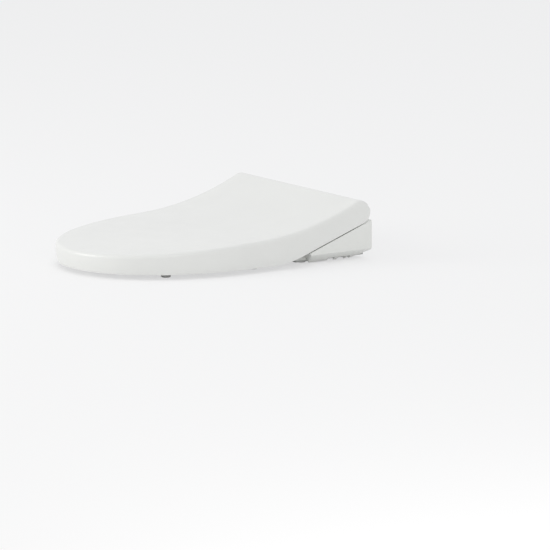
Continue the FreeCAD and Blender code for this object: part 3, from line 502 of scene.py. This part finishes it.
# %% [markdown]
# ## Softened mouldings
#
# The housing, side panels, doors and covers already have the right shape, with windows,
# slots and bores in the right places.  Only their razor edges look wrong: a real mould
# leaves a small radius on each.  So a copy of each part is merged into clean large
# faces, and the Bevel modifier runs round every sharp edge.

# %% A copy with rounded edges
def softened(node, width, slot):
    """A copy of a part, its triangles merged into flat faces, with every sharp edge rounded."""
    source = NODES[node]
    bm = bmesh.new()
    bm.from_mesh(source.data)
    bmesh.ops.remove_doubles(bm, verts=bm.verts, dist=2e-6)
    bmesh.ops.dissolve_limit(bm, angle_limit=math.radians(0.6), verts=bm.verts, edges=bm.edges)
    bmesh.ops.recalc_face_normals(bm, faces=bm.faces)
    mesh = bpy.data.meshes.new(node + "_soft")
    bm.to_mesh(mesh)
    bm.free()
    mesh.shade_smooth()
    piece = show(mesh, node + "_soft", source["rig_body"], slot)
    add_bevel(piece, width, 3, "ANGLE", 30)
    add_even_shading(piece)
    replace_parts(piece, node)
    return piece


MOULDINGS = {
    "housing_cover": (0.0012, "housing_white"),
    "side_panel_left": (0.0014, "housing_white"),
    "side_panel_right": (0.0014, "housing_white"),
    "rear_cover": (0.0006, "housing_white"),
    "wand_shutter": (0.0005, "housing_white"),
    "dryer_flap": (0.0005, "housing_white"),
    "mounting_bracket": (0.0008, "chassis_grey"),
    "cable_gland": (0.0006, "black_plastic"),
    "hinge_shaft_left": (0.0006, "steel"),
    "hinge_shaft_right": (0.0006, "steel"),
    "spray_tip": (0.0004, "steel"),
    "spray_wand": (0.0002, "inner_white"),
}
soft = {node: softened(node, width, slot) for node, (width, slot) in MOULDINGS.items()}
print("softened:", ", ".join(sorted(soft)))

# %% [markdown]
# ## Turned pieces
#
# Feet, rubber buffers, buttons and screw heads are all turned shapes.  Each is a profile
# of radius against height, carried round an axis: a function of an angle and a place
# along the profile.  One function makes a whole group at once, at every centre that the
# frame's part shows.

# %% A profile carried round an axis
def centres_of(node):
    """Middle of each separate solid of a part, found by joining touching triangles."""
    bm = bmesh.new()
    bm.from_mesh(NODES[node].data)
    bmesh.ops.remove_doubles(bm, verts=bm.verts, dist=2e-6)
    left, found = set(bm.verts), []
    while left:
        stack, group = [left.pop()], []
        while stack:
            vert = stack.pop()
            group.append(vert.co[:])
            for edge in vert.link_edges:
                other = edge.other_vert(vert)
                if other in left:
                    left.discard(other)
                    stack.append(other)
        corner = np.array(group)
        found.append((corner.min(0) + corner.max(0)) / 2)
    bm.free()
    return sorted(found, key=lambda c: (c[1], c[0]))


def turned(name, centres, profile, body, slot, around=48, relief=None):
    """Point (angle, k) = centre + (radius_k cos, radius_k sin, height_k).  The profile's
    ends close on the axis.  relief(x, y, z) may move the heights, as for a cross slot."""
    profile = np.asarray(profile, float)
    angle = np.linspace(0, 2 * math.pi, around, endpoint=False)
    radius, level = profile[1:-1, 0], profile[1:-1, 1]
    x, y = np.outer(radius, np.cos(angle)), np.outer(radius, np.sin(angle))
    z = np.repeat(level[:, None], around, 1)
    if relief is not None:
        z = relief(x, y, z)
    ring = np.stack([x, y, z], -1).reshape(-1, 3)
    poles = np.array([[0, 0, profile[0, 1]], [0, 0, profile[-1, 1]]])
    if relief is not None:
        poles[:, 2] = relief(poles[:, 0], poles[:, 1], poles[:, 2])
    one = np.concatenate([ring, poles])
    rows = len(radius)
    k, n = np.arange(around), (np.arange(around) + 1) % around
    quads = []
    for r in range(rows - 1):
        low_row, high_row = r * around, (r + 1) * around
        quads.append(np.stack([low_row + k, low_row + n, high_row + n, high_row + k], -1))
    faces = np.concatenate(quads).tolist()
    first, last = len(ring), len(ring) + 1
    faces += [[first, b, a] for a, b in zip(k, n)]
    faces += [[last, (rows - 1) * around + a, (rows - 1) * around + b] for a, b in zip(k, n)]
    points = np.concatenate([one + c for c in centres])
    every = [[i + m * len(one) for i in f] for m in range(len(centres)) for f in faces]
    mesh = bpy.data.meshes.new(name)
    mesh.from_pydata(points.tolist(), [], every)
    mesh.update()
    bm = bmesh.new()
    bm.from_mesh(mesh)
    bmesh.ops.recalc_face_normals(bm, faces=bm.faces)
    bm.to_mesh(mesh)
    bm.free()
    mesh.shade_smooth()
    print("  ", name, "x", len(centres), "with", len(every), "faces")
    return show(mesh, name, body, slot)


def rounded_profile(radius, low, high, low_round, high_round, dish=0.0):
    """A closed profile with quarter rounds at both ends, and a shallow dish in the top."""
    turn = np.linspace(0, math.pi / 2, 7)
    sine, cosine = np.sin(turn), np.cos(turn)
    bottom = np.stack([radius - low_round * (1 - sine), low + low_round * (1 - cosine)], -1)
    top = np.stack([radius - high_round * (1 - cosine), high - high_round * (1 - sine)], -1)
    inner = np.linspace(radius - high_round, 0, 8)[1:]
    bowl = np.stack([inner, high - dish * (1 - (inner / (radius - high_round)) ** 2)], -1)
    return np.concatenate([[[0, low]], bottom, top, bowl])


print("turning helper ready")

# %% [markdown]
# ## Buffers, feet and buttons
#
# The ring stands on the bowl on four soft buffers, and the lid rests on the ring on
# four more.  They are moulded elastomer, so their ends are generously rounded.  The two
# buttons are caps with a dished top that a fingertip finds.

# %% Buffers and feet
def box_of(node):
    low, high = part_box(node)
    return np.array(low), np.array(high)


LID_REST = float(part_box("lid_bumpers")[0][2])
low, high = box_of("seat_bumpers")
tall = high[2] - low[2]
profile = rounded_profile(0.009, -tall / 2, tall / 2, 0.0028, 0.001)
ring_pads = turned("ring_buffers", centres_of("seat_bumpers"), profile, "seat", "soft_grey")
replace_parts(ring_pads, "seat_bumpers")
low, high = box_of("base_feet")
tall = high[2] - low[2]
profile = rounded_profile(0.009, -tall / 2, tall / 2, 0.0014, 0.0004)
feet = turned("foot_pads", centres_of("base_feet"), profile, "base", "soft_grey")
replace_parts(feet, "base_feet")
NOSE_PADS_FROM = -0.38
pad_centres = centres_of("lid_bumpers")
ceiling = {c[1] < NOSE_PADS_FROM: float(lid_top.height(c[1])) - 0.003 for c in pad_centres}
for ahead, name in ((False, "lid_buffers_rear"), (True, "lid_buffers_front")):
    reach = (ceiling[ahead] - LID_REST) / 2
    group = [c for c in pad_centres if (c[1] < NOSE_PADS_FROM) == ahead]
    pads = [np.array([c[0], c[1], LID_REST + reach]) for c in group]
    profile = rounded_profile(0.007, -reach, reach, min(0.0025, reach * 0.8), 0.0003)
    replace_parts(turned(name, pads, profile, "lid", "soft_grey"), "lid_bumpers")
print("three groups of soft pads")

# %% Buttons
for node, body in (("power_button", "power"), ("rinse_button", "rinse")):
    low, high = box_of(node)
    middle = (low + high) / 2
    tall = high[2] - low[2]
    foot, step = -tall / 2, -tall / 2 + 0.0015
    flange = np.array([[0, foot], [0.0065, foot], [0.0065, step], [0.005, step]])
    cap = rounded_profile(0.005, step, tall / 2, 0.0, 0.0009, dish=0.0006)[8:]
    profile = np.concatenate([flange, cap])
    button = turned(node + "_cap", [middle], profile, body, "housing_white", around=64)
    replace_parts(button, node)
print("two dished buttons")

# %% [markdown]
# ## Screws and the hose thread
#
# A screw head is a turned dome with a cross pressed into it.  The cross is one formula:
# the head sinks wherever a point is close to either of two lines.  The hose thread is a
# cylinder whose radius rises and falls once per turn and per pitch, which makes a true
# helix without modelling a coil.

# %% Cross-slot screw heads
def cross_slot(sign):
    """Depth 0.9 mm where |x| or |y| is under 0.45 mm, inside 1.9 mm of the axis."""
    def press(x, y, z):
        near = np.minimum(np.abs(x), np.abs(y))
        arm = np.clip((0.00055 - near) / 0.0002, 0, 1) * np.clip((0.0020 - np.hypot(x, y)) / 0.0003, 0, 1)
        outer_end = np.clip((sign * z + 0.0002) / 0.0002, 0, 1)
        return z - sign * 0.0009 * arm * outer_end
    return press


def head_profile(radius, height):
    """A low dome that points down, with enough rings for the slot's edges."""
    ring = np.linspace(radius, 0, 22)
    dome = np.stack([ring, -height / 2 + 0.0005 * (ring / radius) ** 2], -1)
    seat = [[0, height / 2], [radius * 0.98, height / 2], [radius, height / 2 - 0.0002]]
    return np.concatenate([seat, dome])


for node, body in (("seat_screws", "seat"), ("cover_screws", "base")):
    low, high = box_of(node)
    radius = 0.0028 if node == "seat_screws" else 0.003
    profile = head_profile(radius, high[2] - low[2])
    heads = turned(node + "_heads", centres_of(node), profile, body, "steel", 96, cross_slot(-1))
    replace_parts(heads, node)
print("two groups of screws")


# %% The hose thread
def threaded_inlet():
    """Radius = outer - depth * ramp(x / pitch - angle / 2 pi), along the part's own axis."""
    low, high = box_of("water_inlet")
    middle_y, middle_z = (low[1] + high[1]) / 2, (low[2] + high[2]) / 2
    outer_r, bore_r, neck_r = (high[1] - low[1]) / 2, 0.005, 0.007
    pitch, depth, around = 0.001814, 0.0011, 72
    along = np.linspace(0, 0.0148, 150)
    angle = np.linspace(0, 2 * math.pi, around, endpoint=False)
    ramp = (along[:, None] / pitch - angle[None, :] / (2 * math.pi)) % 1
    tooth = np.abs(2 * ramp - 1)
    edge = np.clip(np.minimum(along, along[-1] - along) / pitch, 0, 1)[:, None]
    radius = outer_r - 0.00005 - depth * (tooth * edge + (1 - edge))
    inner = along[-1]
    rear = high[0] - low[0] - 0.0001
    stations = [(0.0, bore_r)] + [(a, None) for a in along]
    stations += [(inner, neck_r), (rear, neck_r), (rear, bore_r), (0.0, bore_r)]
    rows = []
    for k, (a, r) in enumerate(stations):
        ring_r = radius[k - 1] if r is None else np.full(around, r)
        x = np.full(around, low[0] + 0.0001 + a)
        y, z = middle_y + ring_r * np.cos(angle), middle_z + ring_r * np.sin(angle)
        rows.append(np.stack([x, y, z], -1))
    points = np.concatenate(rows[:-1])
    count = len(rows) - 1
    k, n = np.arange(around), (np.arange(around) + 1) % around
    faces = []
    for r in range(count):
        s = (r + 1) % count
        faces += np.stack([r * around + k, r * around + n, s * around + n, s * around + k], -1).tolist()
    mesh = bpy.data.meshes.new("hose_thread")
    mesh.from_pydata(points.tolist(), [], faces)
    mesh.update()
    bm = bmesh.new()
    bm.from_mesh(mesh)
    bmesh.ops.recalc_face_normals(bm, faces=bm.faces)
    bm.to_mesh(mesh)
    bm.free()
    mesh.shade_smooth()
    return show(mesh, "hose_thread", "base", "brass")


thread = threaded_inlet()
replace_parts(thread, "water_inlet")
print("thread:", len(thread.data.polygons), "faces")

# %% [markdown]
# ## Finishes
#
# Every finish is built from nodes and reads Object coordinates, which on these pieces
# are metres in the object's own frame, so a grain size can be given as a real length.
# Moulded plastic is never one flat colour: the tone drifts slightly over a hand's
# breadth, the gloss varies a little, and the skin has a very fine orange peel.

# %% Small node-building helpers
def material(name, colour, roughness, metallic=0.0, coat=0.0, coat_roughness=0.2):
    """A Principled material, with its constants set on the shader's own sockets."""
    paint = bpy.data.materials.new(name)
    paint.use_nodes = True
    tree = paint.node_tree
    shader = tree.nodes["Principled BSDF"]
    shader.inputs["Base Color"].default_value = (*colour, 1)
    shader.inputs["Roughness"].default_value = roughness
    shader.inputs["Metallic"].default_value = metallic
    shader.inputs["Coat Weight"].default_value = coat
    shader.inputs["Coat Roughness"].default_value = coat_roughness
    return paint, tree, shader


def add(tree, kind, **settings):
    """A node with some of its sockets or properties set."""
    node = tree.nodes.new(kind)
    for key, value in settings.items():
        if key in node.inputs:
            node.inputs[key].default_value = value
        else:
            setattr(node, key, value)
    return node


def object_noise(tree, grain, detail=3.0, stretch=(1, 1, 1)):
    """Noise whose blobs are about grain metres wide, stretched along the axes."""
    place = add(tree, "ShaderNodeTexCoord")
    shape = add(tree, "ShaderNodeMapping")
    shape.inputs["Scale"].default_value = stretch
    noise = add(tree, "ShaderNodeTexNoise", Scale=1.0 / grain, Detail=detail)
    tree.links.new(place.outputs["Object"], shape.inputs["Vector"])
    tree.links.new(shape.outputs["Vector"], noise.inputs["Vector"])
    return noise.outputs["Fac"]


def spread(tree, source, low, high, into):
    """Maps the middle of a noise onto a range of values and feeds a socket."""
    ramp = add(tree, "ShaderNodeMapRange")
    ramp.inputs["From Min"].default_value, ramp.inputs["From Max"].default_value = 0.3, 0.7
    ramp.inputs["To Min"].default_value, ramp.inputs["To Max"].default_value = low, high
    tree.links.new(source, ramp.inputs["Value"])
    tree.links.new(ramp.outputs["Result"], into)


def tint(tree, source, dark, light, into):
    """Runs a colour between two tones by a noise."""
    ramp = add(tree, "ShaderNodeValToRGB")
    ramp.color_ramp.elements[0].position, ramp.color_ramp.elements[1].position = 0.3, 0.7
    ramp.color_ramp.elements[0].color = (*dark, 1)
    ramp.color_ramp.elements[1].color = (*light, 1)
    tree.links.new(source, ramp.inputs["Fac"])
    tree.links.new(ramp.outputs["Color"], into)


def relief(tree, shader, source, depth, strength=1.0):
    """Feeds a height through a Bump node; depth is in metres."""
    bump = add(tree, "ShaderNodeBump", Strength=strength, Distance=depth)
    tree.links.new(source, bump.inputs["Height"])
    tree.links.new(bump.outputs["Normal"], shader.inputs["Normal"])


print("finish helpers ready")


# %% Moulded plastic
def moulded(name, colour, roughness, peel=0.000012, grain=0.004, coat=0.3, drift=0.012):
    """Satin-gloss moulding: drifting tone, uneven gloss and a fine orange peel."""
    paint, tree, shader = material(name, colour, roughness, coat=coat, coat_roughness=0.18)
    tone = np.array(colour)
    dark, light = tone * (1 - drift), np.minimum(tone * (1 + drift), 1)
    tint(tree, object_noise(tree, 0.11, 2), dark, light, shader.inputs["Base Color"])
    spread(tree, object_noise(tree, 0.03, 4), roughness * 0.88, roughness * 1.14, shader.inputs["Roughness"])
    relief(tree, shader, object_noise(tree, grain, 2), peel, 0.35)
    return paint


paints = {
    "lid_white": moulded("lid_white", (0.800, 0.808, 0.790), 0.32),
    "seat_white": moulded("seat_white", (0.806, 0.822, 0.806), 0.32),
    "housing_white": moulded("housing_white", (0.80, 0.81, 0.785), 0.33),
    "inner_white": moulded("inner_white", (0.74, 0.74, 0.71), 0.45, grain=0.0009, coat=0.0),
    "chassis_grey": moulded("chassis_grey", (0.50, 0.51, 0.50), 0.55, 0.00008, 0.0008, 0.0, 0.03),
    "black_plastic": moulded("black_plastic", (0.022, 0.022, 0.024), 0.42, 0.00006, 0.0006, 0.0, 0.1),
    "smoke_window": moulded("smoke_window", (0.012, 0.012, 0.014), 0.08, peel=0.0, coat=1.0),
}
print("mouldings:", ", ".join(paints))


# %% Rubber, metals and the rest
def rubber(name, colour):
    paint, tree, shader = material(name, colour, 0.78)
    tone = np.array(colour)
    tint(tree, object_noise(tree, 0.006, 5), tone * 0.92, tone * 1.05, shader.inputs["Base Color"])
    relief(tree, shader, object_noise(tree, 0.0005, 3), 0.00006, 0.6)
    return paint


def metal(name, colour, roughness, stretch):
    """Drawn or turned metal: fine lines along one axis, in gloss and in relief."""
    paint, tree, shader = material(name, colour, roughness, metallic=1.0)
    tone = np.array(colour)
    lines = object_noise(tree, 0.0012, 4, stretch)
    light = np.minimum(tone * 1.04, 1)
    tint(tree, object_noise(tree, 0.01, 3), tone * 0.94, light, shader.inputs["Base Color"])
    spread(tree, lines, roughness * 0.75, roughness * 1.3, shader.inputs["Roughness"])
    relief(tree, shader, lines, 0.00002, 0.4)
    return paint


def circuit(name):
    """Green laminate with darker copper runs on a 2.5 mm grid, from bricks laid in rows."""
    paint, tree, shader = material(name, (0.02, 0.16, 0.07), 0.35, coat=0.4)
    place = add(tree, "ShaderNodeTexCoord")
    runs = add(tree, "ShaderNodeTexBrick", Scale=120.0)
    runs.inputs["Color1"].default_value = (0.015, 0.15, 0.06, 1)
    runs.inputs["Color2"].default_value = (0.02, 0.19, 0.08, 1)
    runs.inputs["Mortar"].default_value = (0.10, 0.30, 0.12, 1)
    runs.inputs["Mortar Size"].default_value = 0.035
    tree.links.new(place.outputs["Object"], runs.inputs["Vector"])
    tree.links.new(runs.outputs["Color"], shader.inputs["Base Color"])
    relief(tree, shader, runs.outputs["Fac"], 0.00004, 0.5)
    return paint


def filter_cloth(name):
    """Black pleats: a wave across X, a little distorted."""
    paint, tree, shader = material(name, (0.02, 0.02, 0.02), 0.9)
    place = add(tree, "ShaderNodeTexCoord")
    pleat = add(tree, "ShaderNodeTexWave", Scale=60.0, Distortion=0.6)
    tree.links.new(place.outputs["Object"], pleat.inputs["Vector"])
    # The colour follows the pleat's height: painted shade in the folds, painted light on the crests.
    tint(tree, pleat.outputs["Fac"], (0.008, 0.008, 0.008), (0.05, 0.05, 0.05), shader.inputs["Base Color"])
    relief(tree, shader, pleat.outputs["Fac"], 0.0008, 0.8)
    return paint


paints["soft_grey"] = rubber("soft_grey", (0.55, 0.55, 0.54))
paints["steel"] = metal("steel", (0.66, 0.66, 0.67), 0.32, (0.05, 1, 1))
paints["brass"] = metal("brass", (0.72, 0.53, 0.25), 0.28, (1, 0.05, 0.05))
paints["copper_foil"] = metal("copper_foil", (0.78, 0.55, 0.42), 0.4, (1, 0.1, 1))
paints["board_green"] = circuit("board_green")
paints["filter_black"] = filter_cloth("filter_black")
print(len(paints), "finishes")

# %% Every piece gets the finish of its slot
slots = {entry["node"]: entry["material_slot"] for entry in frame["record"]["subparts"]}
for node, piece in NODES.items():
    piece.data.materials.clear()
    piece.data.materials.append(paints[slots[node]])
for piece in [o for o in bpy.data.objects if o.type == "MESH" and o.name not in NODES]:
    chosen = piece.get("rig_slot")
    if chosen:
        piece.data.materials.clear()
        piece.data.materials.append(paints[chosen])
print("painted", len(NODES), "frame parts and the new pieces")

# %% [markdown]
# ## The studio
#
# A white product on white is lit by differences, not by brightness.  An even pale world
# gives every face its own colour, a broad lamp above and to one side makes the top a
# little brighter than the skirt, and the floor is a shade brighter to the eye than to
# the light, so that it reads as paper white while it keeps the object's soft shadow.

# %% Floor
floor_mesh = bpy.data.meshes.new("floor")
floor_mesh.from_pydata([(-9, -9, 0), (9, -9, 0), (9, 9, 0), (-9, 9, 0)], [], [(0, 1, 2, 3)])
floor = bpy.data.objects.new("floor", floor_mesh)
bpy.context.scene.collection.objects.link(floor)
floor_paint = bpy.data.materials.new("floor_white")
floor_paint.use_nodes = True
tree = floor_paint.node_tree
tree.nodes.clear()
surface = tree.nodes.new("ShaderNodeBsdfDiffuse")
surface.inputs["Color"].default_value = (0.90, 0.90, 0.90, 1)
glow = tree.nodes.new("ShaderNodeEmission")
glow.inputs["Color"].default_value = (0.97, 0.97, 0.975, 1)
path = tree.nodes.new("ShaderNodeLightPath")
seen = add(tree, "ShaderNodeMath", operation="MAXIMUM")
tree.links.new(path.outputs["Is Camera Ray"], seen.inputs[0])
tree.links.new(path.outputs["Is Glossy Ray"], seen.inputs[1])
share = add(tree, "ShaderNodeMath", operation="MULTIPLY")
share.inputs[1].default_value = 0.6
mix = tree.nodes.new("ShaderNodeMixShader")
out = tree.nodes.new("ShaderNodeOutputMaterial")
tree.links.new(seen.outputs[0], share.inputs[0])
tree.links.new(share.outputs[0], mix.inputs["Fac"])
tree.links.new(surface.outputs[0], mix.inputs[1])
tree.links.new(glow.outputs[0], mix.inputs[2])
tree.links.new(mix.outputs[0], out.inputs["Surface"])
floor_mesh.materials.append(floor_paint)
print("floor laid")

# %% World
world = bpy.data.worlds.new("studio")
bpy.context.scene.world = world
world.use_nodes = True
tree = world.node_tree
soft_light = tree.nodes["Background"]
soft_light.inputs["Color"].default_value = (0.985, 0.99, 1.0, 1)
soft_light.inputs["Strength"].default_value = 0.74
backdrop = tree.nodes.new("ShaderNodeBackground")
backdrop.inputs["Color"].default_value = (0.97, 0.97, 0.975, 1)
path = tree.nodes.new("ShaderNodeLightPath")
seen = add(tree, "ShaderNodeMath", operation="MAXIMUM")
both = add(tree, "ShaderNodeMath", operation="MAXIMUM")
mix = tree.nodes.new("ShaderNodeMixShader")
tree.links.new(path.outputs["Is Camera Ray"], seen.inputs[0])
tree.links.new(path.outputs["Is Glossy Ray"], seen.inputs[1])
tree.links.new(seen.outputs[0], both.inputs[0])
tree.links.new(path.outputs["Is Transmission Ray"], both.inputs[1])
tree.links.new(both.outputs[0], mix.inputs["Fac"])
tree.links.new(soft_light.outputs[0], mix.inputs[1])
tree.links.new(backdrop.outputs[0], mix.inputs[2])
tree.links.new(mix.outputs[0], tree.nodes["World Output"].inputs["Surface"])
print("world ready")


# %% Lamps
def area_lamp(name, place, target, size, power, colour):
    """A square soft box at a place, turned towards a target."""
    lamp = bpy.data.lights.new(name, "AREA")
    lamp.size, lamp.energy, lamp.color = size, power, colour
    holder = bpy.data.objects.new(name, lamp)
    bpy.context.scene.collection.objects.link(holder)
    holder.location = place
    holder.rotation_euler = (Vector(target) - Vector(place)).to_track_quat("-Z", "Y").to_euler()
    return holder


middle = (0, -0.2, 0.05)
area_lamp("window_light", (-1.3, -2.6, 1.1), middle, 1.6, 24, (1.0, 0.985, 0.95))
area_lamp("ceiling_light", (-0.4, 0.4, 3.0), middle, 2.4, 6, (0.95, 0.98, 1.0))
area_lamp("fill_light", (2.6, -1.2, 0.9), middle, 1.6, 10, (1.0, 0.98, 0.94))
print("three soft boxes")

# %% Camera
AZIMUTH, ELEVATION = math.radians(54.4), math.radians(10.0)
level_part = math.cos(ELEVATION)
look = Vector((-math.sin(AZIMUTH) * level_part, math.cos(AZIMUTH) * level_part, -math.sin(ELEVATION)))
camera = bpy.data.cameras.new("camera")
DISTANCE = 14.0
camera.lens = 507.665
camera.shift_x, camera.shift_y = -0.174364, -0.049091
camera.clip_end = 60
viewpoint = bpy.data.objects.new("camera", camera)
bpy.context.scene.collection.objects.link(viewpoint)
viewpoint.location = Vector((0.190, 0.060, 0.020)) - look * DISTANCE
viewpoint.rotation_euler = look.to_track_quat("-Z", "Y").to_euler()
bpy.context.scene.camera = viewpoint
bpy.context.scene.view_settings.view_transform = "Standard"
print("lens", round(camera.lens), "mm from", DISTANCE, "m")
